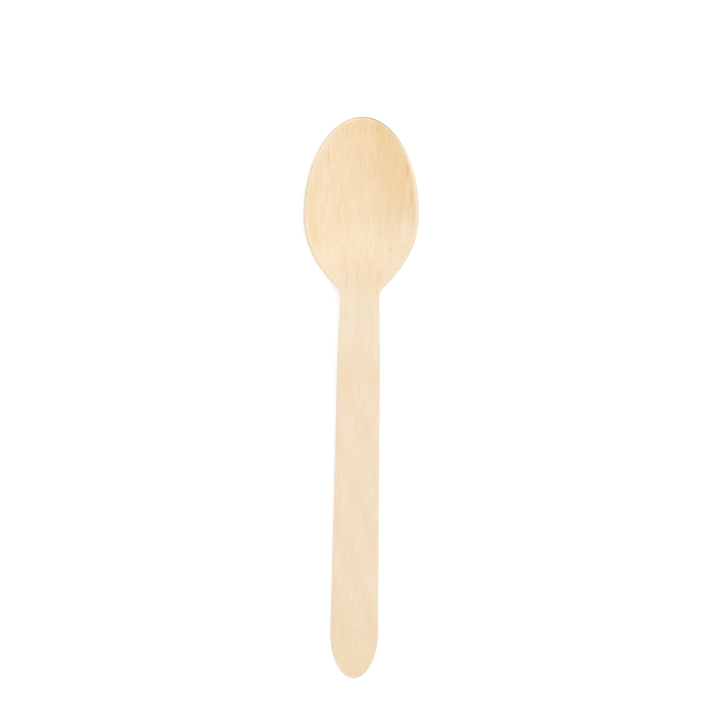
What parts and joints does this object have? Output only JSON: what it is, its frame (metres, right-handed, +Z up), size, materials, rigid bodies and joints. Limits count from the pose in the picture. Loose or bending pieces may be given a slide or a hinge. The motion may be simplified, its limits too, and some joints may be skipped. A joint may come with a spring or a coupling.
{
  "type": "disposable wooden spoon",
  "caption": "Disposable spoon pressed from thin birch veneer, with an egg-shaped dished bowl, a narrow neck and a flat handle that widens slowly to a rounded end.",
  "frame": {"origin": "on the table, under the middle of the spoon's outer box", "axes": "+X across the spoon, +Y from the handle's end towards the tip of the bowl, +Z up, out of the hollow side of the bowl"},
  "size_m": [0.033, 0.16, 0.0074],
  "materials": {
    "birch": "bare, fine sanded, matt"
  },
  "bodies": {
    "root": {"spoon": "birch"}
  },
  "joints": []
}
